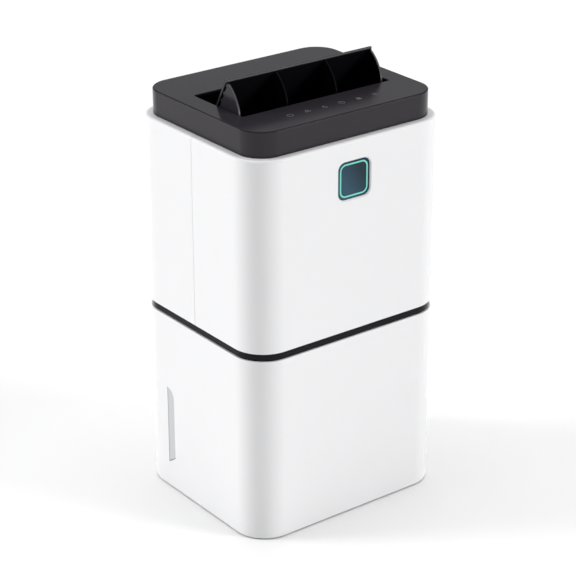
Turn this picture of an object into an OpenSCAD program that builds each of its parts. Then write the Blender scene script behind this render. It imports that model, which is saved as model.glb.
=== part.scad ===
// Portable compressor dehumidifier: white two-part body with a black belt line, dark cap and a
// butterfly air flap. Water tank, air filter and drain plug come out at the rear.
// Frame: X to the right, front face towards -Y, Z up, origin on the floor under the middle.

/* [Body] */
// Width over the casing
body_w = 278; // [276:1:290]
// Depth over the casing
body_d = 238; // [238:1:244]
// Height from the floor to the top of the cap
body_h = 502; // [498:1:505]
// Radius of the upright body corners
corner_r = 40; // [36:1:44]
// Thickness of the casing walls
wall = 2.5; // [2:0.1:3]
// Gap between floor and casing
foot_h = 2.5; // [2:0.5:4]

/* [Belt and cap] */
// Underside of the black belt
belt_z = 231; // [229:1:232]
// Height of the black belt
belt_h = 9.5; // [8:0.5:10]
// How far the belt lies inside the casing
belt_inset = 2; // [1:0.5:3]
// Height of the body rim that the cap stands on
rim_z = 471.5; // [470:0.5:473]
// Width of the step between body and cap
cap_inset = 9; // [7:0.5:11]
// Thickness of the cap
cap_wall = 3; // [2.5:0.1:3.2]

/* [Air flap] */
// Half width of the outlet opening
outlet_x = 105; // [104:0.5:106]
// Front edge of the outlet opening
outlet_y0 = -51; // [-53:0.5:-51]
// Rear edge of the outlet opening
outlet_y1 = 42; // [42:0.5:44]
// Angle of the open flap
flap_open = 62; // [40:1:64]
// Depth of the flap pivot below the cap surface
flap_drop = 10; // [9:0.5:10]
// Thickness of the flap lid
flap_t = 3; // [2:0.2:3.5]
// Radius of the curved flap vanes
vane_r = 46; // [44:0.5:46]

/* [Display] */
// Side of the square display window
display_w = 45; // [42:1:50]
// Height of the display centre
display_z = 425; // [410:1:430]
// Depth of the lens below the front face
display_drop = 1.6; // [1:0.2:4]
// Outer side of the light ring
ring_w = 39.6; // [30:0.2:40]

/* [Tank] */
// Width of the tank bay opening
bay_w = 246; // [240:1:248]
// Top of the tank bay opening
bay_top = 200; // [196:1:202]
// Height of the tank rim
tank_top = 170; // [150:1:172]
// Wall of the tank
tank_wall = 2.2; // [1.8:0.1:3]

/* [Fan and coils] */
// Radius of the fan impeller
fan_r = 72; // [60:1:74]
// Height of the fan axle
fan_z = 332; // [330:1:336]
// Number of fan blades
blade_count = 36; // [24:1:40]
// Number of fins on each coil
fin_count = 38; // [20:1:44]
// Number of straight tubes in each coil
coil_rows = 7; // [5:2:7]

/* [Compressor] */
// Radius of the compressor shell
comp_r = 47; // [42:1:47]
// Height of the compressor shell
comp_h = 172; // [140:1:176]

/* [Hidden] */
$fn = 96;

// Colours
shell_white = "#f2f1ef";
cap_grey = "#4a474d";
deep_black = "#1b1b1e";
copper = "#b8673c";
steel = "#8d9196";
board_green = "#1f5a3c";

// Levels and gaps
fit_gap = 0.4;
belt_top = belt_z + belt_h;
cap_under = body_h - cap_wall;
pan_t = 4;
pan_top = foot_h + pan_t;
deck_z = belt_z + 2;
deck_t = 3;
deck_top = deck_z + deck_t;

// Rear features
frame_y = 103;
grille_x = 86;
grille_z0 = 262;
grille_z1 = 452;
port_z = (bay_top + belt_z) / 2;
spigot_x = -60;
spigot_y0 = 90;
spigot_y1 = 112;
spigot_r = 6;
spigot_bore = 4;
gland_x = 85;
gland_bore = 3.8;
gland_len = 24;
screw_x = 94;
screw_levels = [250, 460];
head_r = 3.5;

// Air path
flap_y = -5.6;
flap_z = body_h - flap_drop;
flap_front = -44.4;
flap_rear = 45.6;
flap_half = 103.5;
pin_r = 3;
bush_r = 6;
run_gap = 0.05;
braze = 0.25;
duct_t = 2;
duct_x = 106;
duct_z = 438;
vane_t = 2.5;
vane_x = 102.5;
rib_x = 35;
scroll_r = 88;
scroll_t = 2.5;
scroll_y0 = -38;
scroll_y1 = 34;
scroll_split = -2;
motor_y0 = -86;
shaft_r = 4;

// Coils
coil_x = 92;
coil_z0 = 262;
coil_h = 180;
coil_deep = 24;
evap_y = 90;
cond_y = 60;
tube_r = 3.5;
tube_end = 98;
row_pitch = coil_h / coil_rows;

// Lower section
comp_x = 45;
comp_y = -52;
comp_z0 = 22;
mount_ring = 52;
mount_angles = [30, 150, 270];
acc_x = -28;
acc_y = -64;
bulkhead_y = 9;
tank_x = 120;
tank_y0 = 14;
tank_y1 = body_d / 2 - wall;
tank_z0 = 12;
spout_y = 84;
handle_y = 60;
handle_z = tank_top + 8;
handle_arm = 32;
handle_x = 109;
float_x = -92;
float_y = 24;
float_z = tank_top - 10;
foot_spots = [[-105, -85], [105, -85], [-105, 85], [105, 85]];

// ---- Shared shapes ----

// Rounded rectangle centred on the origin
module round_rect(w, d, r) {
    square([w - 2 * r, d], center = true);
    square([w, d - 2 * r], center = true);
    for (sx = [-1, 1], sy = [-1, 1])
        translate([sx * (w / 2 - r), sy * (d / 2 - r)]) circle(r = r);
}

// Upright block with the body outline moved in by inset
module body_block(inset, z0, z1) {
    translate([0, 0, z0]) linear_extrude(z1 - z0)
        round_rect(body_w - 2 * inset, body_d - 2 * inset, corner_r - inset);
}

// Upright ring between two insets of the body outline
module body_ring(outer, inner, z0, z1) {
    difference() {
        body_block(outer, z0, z1);
        body_block(inner, z0 - 1, z1 + 1);
    }
}

// Box given by its low and high corners
module span_box(low, high) {
    translate(low) cube(high - low);
}

// Cylinder along Y between two depths
module rod_y(x, z, r, y0, y1) {
    translate([x, y1, z]) rotate([90, 0, 0]) cylinder(r = r, h = y1 - y0);
}

// Cylinder along X between two positions
module rod_x(y, z, r, x0, x1) {
    translate([x0, y, z]) rotate([0, 90, 0]) cylinder(r = r, h = x1 - x0);
}

// Flat outline in the XZ plane, made solid between two depths
module plate_y(y0, y1) {
    translate([0, y1, 0]) rotate([90, 0, 0]) linear_extrude(y1 - y0) children();
}

// Flat outline in the YZ plane, made solid between two positions
module plate_x(x0, x1) {
    translate([x0, 0, 0]) rotate([90, 0, 90]) linear_extrude(x1 - x0) children();
}

// Round tube through a list of points, with slightly fuller ball corners
module pipe_run(points, r) {
    for (i = [0 : len(points) - 2]) {
        step = points[i + 1] - points[i];
        reach = norm(step);
        translate(points[i])
            rotate([0, acos(step[2] / reach), atan2(step[1], step[0])]) cylinder(r = r, h = reach);
    }
    for (i = [1 : 1 : len(points) - 2]) translate(points[i]) sphere(r = r + braze);
}

// ---- Base and lower section ----

module base_pan() {
    color("#3b3b3f") {
        difference() {
            body_block(wall + 0.2, foot_h, pan_top);
            for (p = foot_spots) translate([p[0], p[1], foot_h - 1]) cylinder(r = 4, h = pan_t + 2);
        }
        // rails that the tank slides on
        for (sx = [-1, 1])
            translate([sx * 70 - 4, tank_y0, pan_top]) cube([8, 92, tank_z0 - pan_top - 0.5]);
        // studs that carry the compressor
        for (a = mount_angles)
            translate([comp_x + mount_ring * cos(a), comp_y + mount_ring * sin(a), pan_top])
                cylinder(r = 3, h = comp_z0 + 4 - pan_top);
    }
}

module rubber_feet() {
    color("#2a2a2c") for (p = foot_spots) translate([p[0], p[1], 0]) {
        cylinder(r1 = 11, r2 = 12, h = foot_h);
        cylinder(r = 3.95, h = pan_top);
    }
}

// Outline of the water level window in the YZ plane
module window_outline(grow) {
    window_rear = 62 + grow;
    window_front = 49 - grow;
    window_r = window_rear - window_front;
    arc_z = 123;
    polygon([[window_rear, 34.5 - grow], [window_rear, arc_z], [window_front, arc_z],
        [window_front, 43.5 - grow]]);
    intersection() {
        translate([window_rear, arc_z]) circle(r = window_r);
        translate([window_front, arc_z - 1]) square([window_r, window_r + 2]);
    }
}

// Pocket that the drain spigot stands in
module port_pocket(grow) {
    span_box([spigot_x - 14 - grow, spigot_y0 + 2 - grow, port_z - 11.5 - grow],
        [spigot_x + 14 + grow, body_d / 2 + 1 - grow * 2, port_z + 11.5 + grow]);
}

// Shell of the lower section, with the flange that carries the belt
module lower_shell() {
    body_ring(0, wall, foot_h, belt_z);
    body_ring(wall - 0.5, wall + 6, belt_z - 3, belt_z);
}

// Front and both sides, up to the joint with the rear frame
module lower_casing() {
    color(shell_white) difference() {
        intersection() {
            lower_shell();
            span_box([-body_w, -body_d, 0], [body_w, frame_y, belt_z]);
        }
        plate_x(-body_w / 2 - 1, -body_w / 2 + wall + 1) window_outline(0);
    }
}

// Frame round the tank bay, with the drain pocket and the seat of the lead gland
module rear_frame() {
    color(shell_white) difference() {
        union() {
            intersection() {
                lower_shell();
                span_box([-body_w, frame_y, 0], [body_w, body_d, belt_z]);
            }
            intersection() {
                port_pocket(1.5);
                body_block(0, foot_h, belt_z);
            }
        }
        span_box([-bay_w / 2, 60, 8], [bay_w / 2, body_d, bay_top]);
        port_pocket(0);
        rod_y(spigot_x, port_z, spigot_r - 0.4, spigot_y0 - 5, spigot_y0 + 3);
        rod_y(gland_x, port_z, 9, 100, 130);
    }
}

module level_window() {
    color("#c9d2d6") plate_x(-body_w / 2 + 0.3, -body_w / 2 + wall) window_outline(-0.05);
}

module bay_bulkhead() {
    color("#dcdcda") {
        wide = body_w / 2 - wall - 0.5;
        narrow = body_w / 2 - wall - 6.5;
        span_box([-wide, bulkhead_y, pan_top], [wide, bulkhead_y + 2, belt_z - 3.2]);
        span_box([-narrow, bulkhead_y, belt_z - 4], [narrow, bulkhead_y + 2, deck_z]);
        for (x = [-90, 90]) span_box([x - 1, bulkhead_y - 12, pan_top], [x + 1, bulkhead_y, 60]);
    }
}

module belt_ring() {
    color(deep_black) body_ring(belt_inset, wall + 6, belt_z, belt_top);
}

module mid_deck() {
    color("#d5d5d3") difference() {
        body_block(wall + 6.1, deck_z, deck_top);
        translate([0, spout_y, deck_z - 1]) cylinder(r = 8.4, h = deck_t + 2);
        translate([spigot_x, spout_y, deck_z - 1]) cylinder(r = 6.4, h = deck_t + 2);
        translate([acc_x, acc_y, deck_z - 1]) cylinder(r = 9, h = deck_t + 2);
        translate([25, comp_y, deck_z - 1]) cylinder(r = 8, h = deck_t + 2);
        span_box([80, -100, deck_z - 1], [110, -84, deck_top + 1]);
    }
}

// ---- Upper housing ----

// Shell of the upper section, with the ledge that the cap stands on
module upper_shell() {
    body_ring(0, wall, belt_top, rim_z);
    body_ring(wall - 0.5, cap_inset + 5, rim_z - 3, rim_z);
    body_ring(wall - 0.5, wall + 5, belt_top, belt_top + 3);
}

module front_housing() {
    color(shell_white) difference() {
        intersection() {
            upper_shell();
            span_box([-body_w, -body_d, belt_z], [body_w, 0, body_h]);
        }
        plate_y(-body_d / 2 - 1, -body_d / 2 + wall + 1)
            translate([0, display_z]) round_rect(display_w, display_w, 9);
    }
}

module rear_housing() {
    color(shell_white) difference() {
        union() {
            intersection() {
                upper_shell();
                span_box([-body_w, 0, belt_z], [body_w, body_d, body_h]);
            }
            // screw posts, butted on the ledges
            for (sx = [-1, 1], z = screw_levels)
                rod_y(sx * screw_x, z, 5.5, body_d / 2 - 14, body_d / 2 - wall / 2);
        }
        span_box([-grille_x, 80, grille_z0], [grille_x, 130, grille_z1]);
        for (sx = [-1, 1], z = screw_levels) {
            rod_y(sx * screw_x, z, head_r + 0.3, body_d / 2 - 3, body_d / 2 + 1);
            rod_y(sx * screw_x, z, 1.6, body_d / 2 - 13, body_d / 2);
        }
    }
}

module casing_screws() {
    color(steel) for (sx = [-1, 1], z = screw_levels) {
        difference() {
            rod_y(sx * screw_x, z, head_r, body_d / 2 - 3, body_d / 2 - 0.8);
            for (a = [0, 90]) translate([sx * screw_x, body_d / 2 - 1.2, z]) rotate([0, a, 0])
                cube([4, 1, 0.9], center = true);
        }
        rod_y(sx * screw_x, z, 1.55, body_d / 2 - 12, body_d / 2 - 3);
    }
}

module top_cap() {
    color(cap_grey) difference() {
        body_block(cap_inset, rim_z, body_h);
        body_block(cap_inset + cap_wall, rim_z - 1, cap_under);
        translate([0, (outlet_y0 + outlet_y1) / 2, cap_under - 1])
            linear_extrude(cap_wall + 2) round_rect(2 * outlet_x, outlet_y1 - outlet_y0, 3);
        mark_inlay(0.02);
    }
}

// ---- Controls ----

mark_y = -79;
mark_pitch = 24;
mark_count = 6;
mark_r = 4;
mark_line = 0.8;
mark_deep = 0.3;

// Ring outline
module ring_2d(r, line) {
    difference() {
        circle(r = r);
        circle(r = r - line);
    }
}

// Six plain touch symbols: power, fan speed, humidity, timer, lock and light
module mark_outline(i) {
    if (i == 0) {
        difference() {
            ring_2d(mark_r, mark_line);
            translate([-1.4, 1]) square([2.8, 5]);
        }
        translate([-mark_line / 2, 0.6]) square([mark_line, mark_r]);
    }
    if (i == 1) for (a = [0, 120, 240]) rotate(a) translate([0, 2.2]) ring_2d(1.8, mark_line);
    if (i == 2) {
        translate([0, -1]) ring_2d(2.8, mark_line);
        for (s = [-1, 1]) translate([s * 1.1, 2.3]) rotate(s * 28) square([mark_line, 3.2], center = true);
    }
    if (i == 3) {
        ring_2d(mark_r, mark_line);
        translate([-mark_line / 2, 0]) square([mark_line, 2.6]);
        translate([0, -mark_line / 2]) square([2.2, mark_line]);
    }
    if (i == 4) {
        translate([-2.8, -3.6]) square([5.6, 4.4]);
        translate([0, 0.8]) difference() {
            ring_2d(2.2, mark_line);
            translate([-3, -3]) square([6, 3]);
        }
    }
    if (i == 5) {
        ring_2d(2, mark_line);
        for (a = [0 : 60 : 300]) rotate(a) translate([0, 3.4]) square([mark_line, 1.4], center = true);
    }
}

module mark_inlay(grow) {
    for (i = [0 : mark_count - 1])
        translate([(i - (mark_count - 1) / 2) * mark_pitch, mark_y, body_h - mark_deep - grow])
            linear_extrude(mark_deep + 2 * grow) mark_outline(i);
}

module touch_marks() {
    color("#d8d8dc") mark_inlay(0);
}

module touch_board() {
    color(board_green) {
        translate([-75, mark_y - 12, cap_under - 2.6]) cube([150, 24, 1.6]);
        for (i = [0 : mark_count - 1])
            translate([(i - (mark_count - 1) / 2) * mark_pitch, mark_y, cap_under - 1])
                cylinder(r = 5, h = 1);
        translate([-20, mark_y + 2, cap_under - 8]) cube([16, 8, 5.4]);
    }
}

lens_y = -body_d / 2 + display_drop;
lens_t = 2.4;

module display_bezel() {
    color(shell_white) plate_y(-body_d / 2 + wall, lens_y + lens_t + 2) translate([0, display_z])
        difference() {
            round_rect(display_w + 8, display_w + 8, 12);
            round_rect(display_w, display_w, 9);
        }
}

// Outline of the light ring in the display
module ring_outline(grow) {
    difference() {
        round_rect(ring_w + grow, ring_w + grow, 8 + grow / 2);
        round_rect(ring_w - 3.6 - grow, ring_w - 3.6 - grow, 6.2 - grow / 2);
    }
}

module display_lens() {
    color("#10223c") difference() {
        plate_y(lens_y, lens_y + lens_t) translate([0, display_z])
            round_rect(display_w - 0.1, display_w - 0.1, 8.95);
        plate_y(lens_y - 1, lens_y + 1) translate([0, display_z]) ring_outline(0);
    }
}

module display_light_ring() {
    color("#8fe0cf") plate_y(lens_y + 0.1, lens_y + 1) translate([0, display_z]) ring_outline(0);
}

module display_board() {
    color(board_green) {
        plate_y(lens_y + lens_t + 2, lens_y + lens_t + 3.6)
            translate([-26, display_z - 26]) square([52, 52]);
        // light emitters behind the ring
        for (a = [0 : 30 : 330])
            translate([17 * cos(a), lens_y + lens_t + 1.2, display_z + 17 * sin(a)])
                cube([3, 1.6, 3], center = true);
    }
}

module control_board() {
    board_y = -104;
    board_x = -110;
    board_z = 262;
    color(board_green) span_box([board_x, board_y, board_z], [board_x + 90, board_y + 1.6, 380]);
    color("#26262a") {
        span_box([board_x + 8, board_y + 1.6, board_z + 10], [board_x + 28, board_y + 17.6, board_z + 24]);
        span_box([board_x + 8, board_y + 1.6, board_z + 34], [board_x + 28, board_y + 17.6, board_z + 48]);
        span_box([board_x + 44, board_y + 1.6, board_z + 70], [board_x + 74, board_y + 25.6, board_z + 96]);
        rod_y(board_x + 58, board_z + 24, 8, board_y + 1.6, board_y + 26);
        rod_y(board_x + 20, board_z + 80, 6, board_y + 1.6, board_y + 22);
    }
    // standoffs to the front wall
    color(shell_white) for (x = [8, 82], z = [6, 112])
        rod_y(board_x + x, board_z + z, 3, -body_d / 2 + wall, board_y);
}

module humidity_sensor() {
    color(board_green) span_box([50, 104, 455], [74, 105.4, 465]);
    color(shell_white) span_box([55, 105.4, 457], [69, body_d / 2 - wall, 464]);
}

module run_capacitor() {
    color("#c7c9cc") translate([100, -70, deck_top]) {
        cylinder(r = 17, h = 62);
        for (sx = [-1, 1]) translate([sx * 6, 0, 62]) cube([1, 6, 16], center = true);
    }
}

module reed_switch() {
    color("#26262a") span_box([float_x - 10, bulkhead_y - 6, float_z - 8],
        [float_x + 10, bulkhead_y, float_z + 4]);
}

// ---- Outlet duct and flap ----

module outlet_duct() {
    color(deep_black) difference() {
        union() {
            span_box([-duct_x - duct_t, outlet_y0 - 3.5, duct_z - 2],
                [duct_x + duct_t, outlet_y1 + 3.5, cap_under]);
            for (sx = [-1, 1]) rod_x(flap_y, flap_z, bush_r + 0.6,
                sx * (duct_x + 3) - 1, sx * (duct_x + 3) + 1);
        }
        span_box([-duct_x, outlet_y0 - 1.5, duct_z], [duct_x, outlet_y1 + 1.5, body_h]);
        span_box([-scroll_r, scroll_y0 + 2, duct_z - 5], [scroll_r, scroll_y1 - 2, duct_z + 5]);
        rod_x(flap_y, flap_z, bush_r, -duct_x - 8, duct_x + 8);
    }
}

module outlet_guard() {
    guard_t = 2;
    color(deep_black) difference() {
        span_box([-scroll_r - 6, scroll_y0 - 4, duct_z], [scroll_r + 6, scroll_y1 + 4, duct_z + guard_t]);
        for (i = [-9 : 9]) span_box([i * 9.4 - 3.2, scroll_y0 + 2, duct_z - 1],
            [i * 9.4 + 3.2, scroll_y1 - 2, duct_z + guard_t + 1]);
    }
}

module flap_bushes() {
    color("#e6e2d6") for (sx = [-1, 1]) difference() {
        rod_x(flap_y, flap_z, bush_r, sx * (duct_x + 2) - 2, sx * (duct_x + 2) + 2);
        rod_x(flap_y, flap_z, pin_r + run_gap, sx * (duct_x + 2) - 3, sx * (duct_x + 2) + 3);
    }
}

// Geared stepper whose shaft is off its centre, which clears the cap
module flap_motor() {
    motor_x = duct_x + 5;
    offset_z = 8;
    color("#b9bcc0") difference() {
        union() {
            rod_x(flap_y, flap_z - offset_z, 14, motor_x, motor_x + 13);
            span_box([motor_x, flap_y - 21, flap_z - offset_z - 3.5],
                [motor_x + 1, flap_y + 21, flap_z - offset_z + 3.5]);
        }
        rod_x(flap_y, flap_z, pin_r + run_gap, motor_x - 1, motor_x + 7);
    }
}

// Places a piece drawn in the closed flap's frame, pivot at the origin
module on_flap() {
    translate([0, flap_y, flap_z]) rotate([-flap_open, 0, 0]) children();
}

module flap_lid() {
    nose_r = 1.8;
    color(cap_grey) on_flap() {
        span_box([-flap_half, flap_front + nose_r, flap_drop - flap_t],
            [flap_half, flap_rear, flap_drop]);
        rod_x(flap_front + nose_r, flap_drop - nose_r, nose_r, -flap_half, flap_half);
    }
}

// Side outline of a vane under the lid
module vane_outline() {
    intersection() {
        translate([3.6, flap_drop - 1]) circle(r = vane_r);
        translate([flap_front + 2, -50]) square([flap_rear - flap_front - 2.5, 50 + flap_drop - flap_t]);
    }
}

module flap_vanes() {
    color("#3a383d") on_flap() difference() {
        for (sx = [-1, 1]) {
            plate_x(sx * (vane_x - vane_t / 2) - vane_t / 2, sx * (vane_x - vane_t / 2) + vane_t / 2)
                vane_outline();
            plate_x(sx * rib_x - 1, sx * rib_x + 1) vane_outline();
        }
        rod_x(0, 0, pin_r, -vane_x - 1, -vane_x + 4);
        rod_x(0, 0, pin_r, vane_x - 4, vane_x + 1);
    }
}

module flap_shaft() {
    color(steel) for (sx = [-1, 1]) {
        tip = sx > 0 ? duct_x + 11 : duct_x + 5;
        rod_x(flap_y, flap_z, pin_r, sx > 0 ? vane_x - vane_t : -tip, sx > 0 ? tip : -vane_x + vane_t);
        rod_x(flap_y, flap_z, 5, sx * (vane_x + 0.6) - 0.6, sx * (vane_x + 0.6) + 0.6);
    }
}

// ---- Fan ----

// Fan scroll outline in the XZ plane: round below, straight walls up to the duct
module scroll_outline(grow) {
    translate([0, fan_z]) circle(r = scroll_r + grow);
    translate([-scroll_r - grow, fan_z]) square([2 * (scroll_r + grow), duct_z - 2 - fan_z]);
}

module scroll_walls(y0, y1) {
    plate_y(y0, y1) difference() {
        scroll_outline(scroll_t);
        scroll_outline(0);
    }
}

module scroll_front() {
    color("#2b2b2f") {
        scroll_walls(scroll_y0, scroll_split);
        difference() {
            plate_y(scroll_y0, scroll_y0 + 2) scroll_outline(0.5);
            rod_y(0, fan_z, 12, scroll_y0 - 1, scroll_y0 + 3);
        }
    }
}

module scroll_rear() {
    mouth_r = 60;
    color("#2b2b2f") {
        scroll_walls(scroll_split, scroll_y1);
        difference() {
            plate_y(scroll_y1 - 2, scroll_y1) scroll_outline(0.5);
            rod_y(0, fan_z, mouth_r, scroll_y1 - 3, scroll_y1 + 1);
        }
        // bell mouth round the inlet
        translate([0, scroll_y1, fan_z]) rotate([-90, 0, 0]) rotate_extrude()
            translate([mouth_r, 0]) square([4, 5]);
    }
}

module fan_motor() {
    color("#6d7075") difference() {
        union() {
            rod_y(0, fan_z, 38, motor_y0 + 8, scroll_y0);
            rod_y(0, fan_z, 12, motor_y0, motor_y0 + 8);
            rod_y(0, fan_z, 11.9, scroll_y0, scroll_y0 + 2);
            for (a = [45 : 90 : 315]) rod_y(44 * cos(a), fan_z + 44 * sin(a), 5, scroll_y0 - 4, scroll_y0);
            for (a = [45, 135]) translate([0, scroll_y0 - 3, fan_z]) rotate([0, a, 0])
                cube([88, 2, 6], center = true);
        }
        rod_y(0, fan_z, shaft_r + run_gap, motor_y0 + 3, scroll_y0 + 4);
    }
}

module fan_impeller() {
    front_y = -30;
    rear_y = 26;
    ring_in = fan_r - 12;
    color("#3a3c42") {
        difference() {
            union() {
                rod_y(0, fan_z, fan_r, front_y, front_y + 2);
                rod_y(0, fan_z, 14, front_y + 2, front_y + 22);
            }
            rod_y(0, fan_z, shaft_r, front_y - 1, front_y + 24);
        }
        difference() {
            rod_y(0, fan_z, fan_r, rear_y - 3, rear_y);
            rod_y(0, fan_z, ring_in, rear_y - 4, rear_y + 1);
        }
        // forward-curved blades
        for (i = [0 : blade_count - 1]) translate([0, 0, fan_z]) rotate([0, i * 360 / blade_count, 0])
            translate([fan_r - 6.6, (front_y + rear_y) / 2 - 0.5, 0]) rotate([0, 32, 0])
                cube([11, rear_y - front_y - 3, 1.2], center = true);
    }
}

module fan_shaft() {
    color(steel) rod_y(0, fan_z, shaft_r, motor_y0 + 4, -8);
}

// ---- Cooling circuit ----

module coil_fins(y) {
    for (i = [0 : fin_count - 1])
        translate([-coil_x + i * 2 * coil_x / (fin_count - 1), y, coil_z0 + coil_h / 2])
            cube([0.5, coil_deep, coil_h], center = true);
    for (sx = [-1, 1]) translate([sx * (coil_x + 2.5), y, coil_z0 + coil_h / 2])
        cube([1.2, coil_deep, coil_h], center = true);
}

// One long tube that runs back and forth across the coil, with brazed return bends
module coil_tubes(y) {
    for (i = [0 : coil_rows - 1]) {
        z = coil_z0 + (i + 0.5) * row_pitch;
        rod_x(y, z, tube_r, -tube_end, tube_end);
        if (i < coil_rows - 1) {
            side = i % 2 == 0 ? 1 : -1;
            translate([side * tube_end, y, z + row_pitch / 2]) rotate([90, 0, side > 0 ? 0 : 180])
                rotate([0, 0, -90]) rotate_extrude(angle = 180) translate([row_pitch / 2, 0])
                    circle(r = tube_r + braze);
        }
    }
}

module evaporator_fins() {
    color("#c9ced3") coil_fins(evap_y);
}

module evaporator_tubes() {
    color(copper) coil_tubes(evap_y);
}

module condenser_fins() {
    color("#bfc4c9") coil_fins(cond_y);
}

module condenser_tubes() {
    color(copper) coil_tubes(cond_y);
}

low_row = coil_z0 + row_pitch / 2;
top_row = coil_z0 + (coil_rows - 0.5) * row_pitch;

module compressor_shell() {
    dome = 22;
    color("#26272b") translate([comp_x, comp_y, comp_z0]) {
        cylinder(r = 34, h = 3);
        difference() {
            for (a = mount_angles) rotate(a) translate([0, -11, 0]) cube([mount_ring + 9, 22, 3]);
            for (a = mount_angles) translate([mount_ring * cos(a), mount_ring * sin(a), -1])
                cylinder(r = 6, h = 5);
        }
        translate([0, 0, 3 + dome]) cylinder(r = comp_r, h = comp_h - 2 * dome - 3);
        for (up = [0, 1]) translate([0, 0, up ? comp_h - dome : 3 + dome]) mirror([0, 0, 1 - up])
            rotate_extrude() intersection() {
                translate([comp_r - dome, 0]) circle(r = dome);
                square([comp_r, dome]);
            }
        translate([0, 0, 3]) cylinder(r = comp_r - dome, h = comp_h - 3);
    }
}

module compressor_grommets() {
    color("#1f1f21") for (a = mount_angles)
        translate([comp_x + mount_ring * cos(a), comp_y + mount_ring * sin(a), 0]) difference() {
            union() {
                translate([0, 0, pan_top]) cylinder(r = 8, h = comp_z0 - pan_top);
                translate([0, 0, comp_z0]) cylinder(r = 5.9, h = 3);
            }
            translate([0, 0, pan_top - 1]) cylinder(r = 3.1, h = 30);
        }
}

module terminal_cover() {
    color("#1f1f21") translate([comp_x + 12, comp_y, comp_z0 + comp_h]) cylinder(r = 13, h = 14);
}

module accumulator() {
    color("#26272b") {
        translate([acc_x, acc_y, 66]) cylinder(r = 18, h = 92);
        translate([acc_x, acc_y, 158]) cylinder(r1 = 18, r2 = 8, h = 8);
        translate([acc_x, acc_y, 58]) cylinder(r1 = 8, r2 = 18, h = 8);
        // bent pipe into the compressor's side
        pipe_run([[acc_x, acc_y, 60], [acc_x, acc_y, 46], [comp_x - comp_r, acc_y + 6, 46]], 4);
    }
}

module suction_pipe() {
    side_x = -118;
    run_z = 250;
    color(copper) pipe_run([[acc_x, acc_y, 166], [acc_x, acc_y, run_z], [side_x, acc_y, run_z],
        [side_x, evap_y, run_z], [side_x, evap_y, low_row], [-tube_end, evap_y, low_row]], 4);
}

module discharge_pipe() {
    side_x = -106;
    run_z = 250;
    color(copper) pipe_run([[25, comp_y, comp_z0 + comp_h], [25, comp_y, run_z],
        [side_x, comp_y, run_z], [side_x, cond_y, run_z], [side_x, cond_y, low_row],
        [-tube_end, cond_y, low_row]], 3);
}

drier_x = 108;
drier_y = (cond_y + evap_y) / 2;
drier_z0 = 340;
drier_z1 = 400;

module filter_drier() {
    color(copper) {
        translate([drier_x, drier_y, drier_z0]) cylinder(r = 8, h = drier_z1 - drier_z0);
        translate([drier_x, drier_y, drier_z0 - 10]) cylinder(r1 = 2, r2 = 8, h = 10);
        pipe_run([[drier_x, drier_y, drier_z1], [drier_x, drier_y, top_row], [drier_x, cond_y, top_row],
            [tube_end, cond_y, top_row]], 3);
    }
}

module capillary_tube() {
    low_z = 318;
    side_x = 121;
    color(copper) pipe_run([[drier_x, drier_y, drier_z0 - 10], [drier_x, drier_y, low_z],
        [side_x, drier_y, low_z], [side_x, evap_y, low_z], [side_x, evap_y, top_row],
        [tube_end, evap_y, top_row]], 1.4);
}

module drip_tray() {
    tray_z = deck_top + 5;
    tray_x = 97;
    color("#2f3136") difference() {
        union() {
            span_box([-tray_x, 44, tray_z], [tray_x, 104.8, coil_z0 - 4]);
            translate([0, spout_y, tank_top + 20]) cylinder(r = 8, h = tray_z - tank_top - 20);
            translate([spigot_x, spout_y, deck_top]) cylinder(r = 8, h = tray_z - deck_top);
        }
        span_box([-tray_x + 2, 46, tray_z + 2], [tray_x - 2, 102.8, coil_z0]);
        translate([0, spout_y, tank_top]) cylinder(r = 6, h = 90);
        translate([spigot_x, spout_y, deck_z]) cylinder(r = 6.2, h = 30);
    }
}

// ---- Rear connections ----

module drain_spigot() {
    color("#e4e4e2") difference() {
        union() {
            rod_y(spigot_x, port_z, spigot_r, spigot_y0 + 2, spigot_y1);
            rod_y(spigot_x, port_z, spigot_r - 0.5, spout_y - 6, spigot_y0 + 3);
            translate([spigot_x, spout_y, port_z - 6]) cylinder(r = 6, h = 26);
        }
        rod_y(spigot_x, port_z, spigot_bore, spout_y, spigot_y1 + 1);
        translate([spigot_x, spout_y, port_z]) cylinder(r = 4, h = 30);
    }
}

module drain_plug() {
    head_len = 6;
    color("#9aa0a6") {
        rod_y(spigot_x, port_z, spigot_bore - run_gap, spigot_y1 - 9, spigot_y1 + 0.3);
        rod_y(spigot_x, port_z, spigot_r - 0.2, spigot_y1 + 0.3, spigot_y1 + head_len);
    }
}

module cord_gland() {
    color("#2a2a2c") difference() {
        union() {
            rod_y(gland_x, port_z, 8.9, body_d / 2 - gland_len, body_d / 2 - 0.3);
            rod_y(gland_x, port_z, 11, body_d / 2 - gland_len + 4, body_d / 2 - wall);
        }
        rod_y(gland_x, port_z, gland_bore, body_d / 2 - gland_len - 1, body_d / 2 + 1);
    }
}

// ---- Intake ----

module intake_grille() {
    slats = 15;
    frame_w = 7;
    low = grille_z0 + fit_gap;
    high = grille_z1 - fit_gap;
    half = grille_x - fit_gap;
    pitch = (high - low - 2 * frame_w) / slats;
    color(shell_white) {
        difference() {
            span_box([-half, 111, low], [half, body_d / 2, high]);
            span_box([-half + frame_w, 110, low + frame_w], [half - frame_w, 122, high - frame_w]);
            // finger notch at the top edge
            span_box([-16, 115, high - 4], [16, 122, high + 1]);
        }
        for (i = [0 : slats - 1]) translate([0, body_d / 2 - 4, low + frame_w + (i + 0.5) * pitch])
            rotate([32, 0, 0]) cube([2 * (half - frame_w) + 1, 8, 1.8], center = true);
        for (x = [-26, 26]) span_box([x - 1.5, 111, low + frame_w - 1], [x + 1.5, 114, high - frame_w + 1]);
    }
}

filter_y0 = 104.5;
filter_y1 = 111;

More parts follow.
